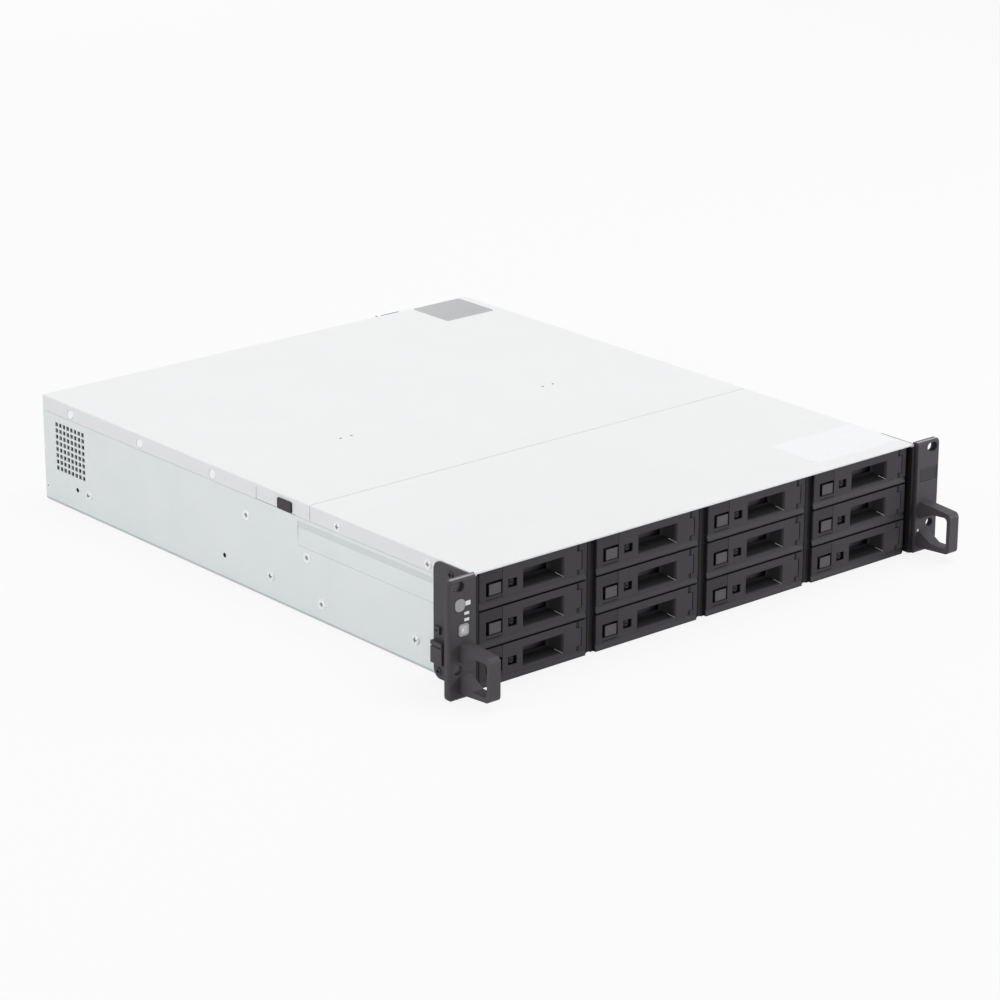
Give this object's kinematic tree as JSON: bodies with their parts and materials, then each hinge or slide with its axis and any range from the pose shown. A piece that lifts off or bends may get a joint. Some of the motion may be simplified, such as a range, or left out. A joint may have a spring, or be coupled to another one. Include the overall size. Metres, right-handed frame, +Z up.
{
  "type": "2u rack server",
  "caption": "Two-unit rack storage server with lever-fronted drive trays, sliding rear lid, ear handles, fans and stacked power supplies.",
  "frame": {"origin": "centre of the chassis' flat underside", "axes": "+X to the right seen from the front, +Y from the ears to the rear wall, +Z up"},
  "size_m": [0.4826, 0.579, 0.0882],
  "materials": {
    "cover_paint": "satin white powder coat",
    "galvanised": "galvanised sheet",
    "ear_paint": "black powder coat",
    "bezel_plastic": "fine texture",
    "tray_plastic": "fine texture",
    "lever_plastic": "fine texture",
    "key_plastic": "fine texture",
    "panel_key": "satin",
    "light_pipe": "clear diffusing",
    "latch_plastic": "satin",
    "trim_black": "satin",
    "board_green": "solder mask",
    "fan_plastic": "moulded",
    "port_metal": "nickel plated",
    "supply_steel": "zinc plated",
    "supply_latch": "moulded"
  },
  "bodies": {
    "server": {"chassis": "galvanised", "front_cover": "cover_paint", "rack_ears": "ear_paint", "ear_bezel_left": "bezel_plastic", "ear_bezel_right": "bezel_plastic", "status_lights": "light_pipe", "drive_cage": "galvanised", "bay_trim": "trim_black", "backplane": "board_green", "fan_frames": "fan_plastic", "mainboard": "board_green", "rear_ports": "port_metal"},
    "lid": {"rear_lid": "cover_paint"},
    "latch": {"lid_latch": "latch_plastic"},
    "power_key": {"power_button": "panel_key"},
    "mute_key": {"mute_button": "panel_key"},
    "fan_1": {"fan_rotor_1": "fan_plastic"},
    "fan_2": {"fan_rotor_2": "fan_plastic"},
    "fan_3": {"fan_rotor_3": "fan_plastic"},
    "fan_4": {"fan_rotor_4": "fan_plastic"},
    "supply_1": {"power_supply_1": "supply_steel"},
    "supply_catch_1": {"supply_latch_1": "supply_latch"},
    "supply_2": {"power_supply_2": "supply_steel"},
    "supply_catch_2": {"supply_latch_2": "supply_latch"},
    "tray_01": {"drive_tray_01": "tray_plastic"},
    "lever_01": {"tray_lever_01": "lever_plastic"},
    "release_01": {"tray_button_01": "key_plastic"},
    "tray_02": {"drive_tray_02": "tray_plastic"},
    "lever_02": {"tray_lever_02": "lever_plastic"},
    "release_02": {"tray_button_02": "key_plastic"},
    "tray_03": {"drive_tray_03": "tray_plastic"},
    "lever_03": {"tray_lever_03": "lever_plastic"},
    "release_03": {"tray_button_03": "key_plastic"},
    "tray_04": {"drive_tray_04": "tray_plastic"},
    "lever_04": {"tray_lever_04": "lever_plastic"},
    "release_04": {"tray_button_04": "key_plastic"},
    "tray_05": {"drive_tray_05": "tray_plastic"},
    "lever_05": {"tray_lever_05": "lever_plastic"},
    "release_05": {"tray_button_05": "key_plastic"},
    "tray_06": {"drive_tray_06": "tray_plastic"},
    "lever_06": {"tray_lever_06": "lever_plastic"},
    "release_06": {"tray_button_06": "key_plastic"},
    "tray_07": {"drive_tray_07": "tray_plastic"},
    "lever_07": {"tray_lever_07": "lever_plastic"},
    "release_07": {"tray_button_07": "key_plastic"},
    "tray_08": {"drive_tray_08": "tray_plastic"},
    "lever_08": {"tray_lever_08": "lever_plastic"},
    "release_08": {"tray_button_08": "key_plastic"},
    "tray_09": {"drive_tray_09": "tray_plastic"},
    "lever_09": {"tray_lever_09": "lever_plastic"},
    "release_09": {"tray_button_09": "key_plastic"},
    "tray_10": {"drive_tray_10": "tray_plastic"},
    "lever_10": {"tray_lever_10": "lever_plastic"},
    "release_10": {"tray_button_10": "key_plastic"},
    "tray_11": {"drive_tray_11": "tray_plastic"},
    "lever_11": {"tray_lever_11": "lever_plastic"},
    "release_11": {"tray_button_11": "key_plastic"},
    "tray_12": {"drive_tray_12": "tray_plastic"},
    "lever_12": {"tray_lever_12": "lever_plastic"},
    "release_12": {"tray_button_12": "key_plastic"}
  },
  "joints": [
    {"name": "lid_slide", "type": "slide", "parent": "server", "child": "lid", "axis": [0, 1, 0], "range_m": [0, 0.012]},
    {"name": "latch_slide", "type": "slide", "parent": "lid", "child": "latch", "axis": [0, 1, 0], "range_m": [0, 0.008], "stiffness_N_per_m": 200},
    {"name": "power_press", "type": "slide", "parent": "server", "child": "power_key", "axis": [0, 1, 0], "range_m": [0, 0.001], "stiffness_N_per_m": 500},
    {"name": "mute_press", "type": "slide", "parent": "server", "child": "mute_key", "axis": [0, 1, 0], "range_m": [0, 0.001], "stiffness_N_per_m": 500},
    {"name": "fan_spin_1", "type": "hinge", "parent": "server", "child": "fan_1", "pos_m": [-0.16095, -0.0505, 0.0412], "axis": [0, 1, 0], "continuous": true},
    {"name": "fan_spin_2", "type": "hinge", "parent": "server", "child": "fan_2", "pos_m": [-0.05365, -0.0505, 0.0412], "axis": [0, 1, 0], "continuous": true},
    {"name": "fan_spin_3", "type": "hinge", "parent": "server", "child": "fan_3", "pos_m": [0.05365, -0.0505, 0.0412], "axis": [0, 1, 0], "continuous": true},
    {"name": "fan_spin_4", "type": "hinge", "parent": "server", "child": "fan_4", "pos_m": [0.16095, -0.0505, 0.0412], "axis": [0, 1, 0], "continuous": true},
    {"name": "supply_slide_1", "type": "slide", "parent": "server", "child": "supply_1", "axis": [0, 1, 0], "range_m": [0, 0.1]},
    {"name": "supply_latch_press_1", "type": "slide", "parent": "supply_1", "child": "supply_catch_1", "axis": [-1, 0, 0], "range_m": [0, 0.003], "stiffness_N_per_m": 400},
    {"name": "supply_slide_2", "type": "slide", "parent": "server", "child": "supply_2", "axis": [0, 1, 0], "range_m": [0, 0.1]},
    {"name": "supply_latch_press_2", "type": "slide", "parent": "supply_2", "child": "supply_catch_2", "axis": [-1, 0, 0], "range_m": [0, 0.003], "stiffness_N_per_m": 400},
    {"name": "tray_slide_01", "type": "slide", "parent": "server", "child": "tray_01", "axis": [0, -1, 0], "range_m": [0, 0.15]},
    {"name": "lever_swing_01", "type": "hinge", "parent": "tray_01", "child": "lever_01", "pos_m": [-0.11795, -0.2555, 0.0732], "axis": [0, 0, 1], "range_deg": [0, 60]},
    {"name": "release_press_01", "type": "slide", "parent": "tray_01", "child": "release_01", "axis": [0, 1, 0], "range_m": [0, 0.002], "stiffness_N_per_m": 500},
    {"name": "tray_slide_02", "type": "slide", "parent": "server", "child": "tray_02", "axis": [0, -1, 0], "range_m": [0, 0.15]},
    {"name": "lever_swing_02", "type": "hinge", "parent": "tray_02", "child": "lever_02", "pos_m": [-0.01065, -0.2555, 0.0732], "axis": [0, 0, 1], "range_deg": [0, 60]},
    {"name": "release_press_02", "type": "slide", "parent": "tray_02", "child": "release_02", "axis": [0, 1, 0], "range_m": [0, 0.002], "stiffness_N_per_m": 500},
    {"name": "tray_slide_03", "type": "slide", "parent": "server", "child": "tray_03", "axis": [0, -1, 0], "range_m": [0, 0.15]},
    {"name": "lever_swing_03", "type": "hinge", "parent": "tray_03", "child": "lever_03", "pos_m": [0.09665, -0.2555, 0.0732], "axis": [0, 0, 1], "range_deg": [0, 60]},
    {"name": "release_press_03", "type": "slide", "parent": "tray_03", "child": "release_03", "axis": [0, 1, 0], "range_m": [0, 0.002], "stiffness_N_per_m": 500},
    {"name": "tray_slide_04", "type": "slide", "parent": "server", "child": "tray_04", "axis": [0, -1, 0], "range_m": [0, 0.15]},
    {"name": "lever_swing_04", "type": "hinge", "parent": "tray_04", "child": "lever_04", "pos_m": [0.20395, -0.2555, 0.0732], "axis": [0, 0, 1], "range_deg": [0, 60]},
    {"name": "release_press_04", "type": "slide", "parent": "tray_04", "child": "release_04", "axis": [0, 1, 0], "range_m": [0, 0.002], "stiffness_N_per_m": 500},
    {"name": "tray_slide_05", "type": "slide", "parent": "server", "child": "tray_05", "axis": [0, -1, 0], "range_m": [0, 0.15]},
    {"name": "lever_swing_05", "type": "hinge", "parent": "tray_05", "child": "lever_05", "pos_m": [-0.11795, -0.2555, 0.0446], "axis": [0, 0, 1], "range_deg": [0, 60]},
    {"name": "release_press_05", "type": "slide", "parent": "tray_05", "child": "release_05", "axis": [0, 1, 0], "range_m": [0, 0.002], "stiffness_N_per_m": 500},
    {"name": "tray_slide_06", "type": "slide", "parent": "server", "child": "tray_06", "axis": [0, -1, 0], "range_m": [0, 0.15]},
    {"name": "lever_swing_06", "type": "hinge", "parent": "tray_06", "child": "lever_06", "pos_m": [-0.01065, -0.2555, 0.0446], "axis": [0, 0, 1], "range_deg": [0, 60]},
    {"name": "release_press_06", "type": "slide", "parent": "tray_06", "child": "release_06", "axis": [0, 1, 0], "range_m": [0, 0.002], "stiffness_N_per_m": 500},
    {"name": "tray_slide_07", "type": "slide", "parent": "server", "child": "tray_07", "axis": [0, -1, 0], "range_m": [0, 0.15]},
    {"name": "lever_swing_07", "type": "hinge", "parent": "tray_07", "child": "lever_07", "pos_m": [0.09665, -0.2555, 0.0446], "axis": [0, 0, 1], "range_deg": [0, 60]},
    {"name": "release_press_07", "type": "slide", "parent": "tray_07", "child": "release_07", "axis": [0, 1, 0], "range_m": [0, 0.002], "stiffness_N_per_m": 500},
    {"name": "tray_slide_08", "type": "slide", "parent": "server", "child": "tray_08", "axis": [0, -1, 0], "range_m": [0, 0.15]},
    {"name": "lever_swing_08", "type": "hinge", "parent": "tray_08", "child": "lever_08", "pos_m": [0.20395, -0.2555, 0.0446], "axis": [0, 0, 1], "range_deg": [0, 60]},
    {"name": "release_press_08", "type": "slide", "parent": "tray_08", "child": "release_08", "axis": [0, 1, 0], "range_m": [0, 0.002], "stiffness_N_per_m": 500},
    {"name": "tray_slide_09", "type": "slide", "parent": "server", "child": "tray_09", "axis": [0, -1, 0], "range_m": [0, 0.15]},
    {"name": "lever_swing_09", "type": "hinge", "parent": "tray_09", "child": "lever_09", "pos_m": [-0.11795, -0.2555, 0.016], "axis": [0, 0, 1], "range_deg": [0, 60]},
    {"name": "release_press_09", "type": "slide", "parent": "tray_09", "child": "release_09", "axis": [0, 1, 0], "range_m": [0, 0.002], "stiffness_N_per_m": 500},
    {"name": "tray_slide_10", "type": "slide", "parent": "server", "child": "tray_10", "axis": [0, -1, 0], "range_m": [0, 0.15]},
    {"name": "lever_swing_10", "type": "hinge", "parent": "tray_10", "child": "lever_10", "pos_m": [-0.01065, -0.2555, 0.016], "axis": [0, 0, 1], "range_deg": [0, 60]},
    {"name": "release_press_10", "type": "slide", "parent": "tray_10", "child": "release_10", "axis": [0, 1, 0], "range_m": [0, 0.002], "stiffness_N_per_m": 500},
    {"name": "tray_slide_11", "type": "slide", "parent": "server", "child": "tray_11", "axis": [0, -1, 0], "range_m": [0, 0.15]},
    {"name": "lever_swing_11", "type": "hinge", "parent": "tray_11", "child": "lever_11", "pos_m": [0.09665, -0.2555, 0.016], "axis": [0, 0, 1], "range_deg": [0, 60]},
    {"name": "release_press_11", "type": "slide", "parent": "tray_11", "child": "release_11", "axis": [0, 1, 0], "range_m": [0, 0.002], "stiffness_N_per_m": 500},
    {"name": "tray_slide_12", "type": "slide", "parent": "server", "child": "tray_12", "axis": [0, -1, 0], "range_m": [0, 0.15]},
    {"name": "lever_swing_12", "type": "hinge", "parent": "tray_12", "child": "lever_12", "pos_m": [0.20395, -0.2555, 0.016], "axis": [0, 0, 1], "range_deg": [0, 60]},
    {"name": "release_press_12", "type": "slide", "parent": "tray_12", "child": "release_12", "axis": [0, 1, 0], "range_m": [0, 0.002], "stiffness_N_per_m": 500}
  ]
}
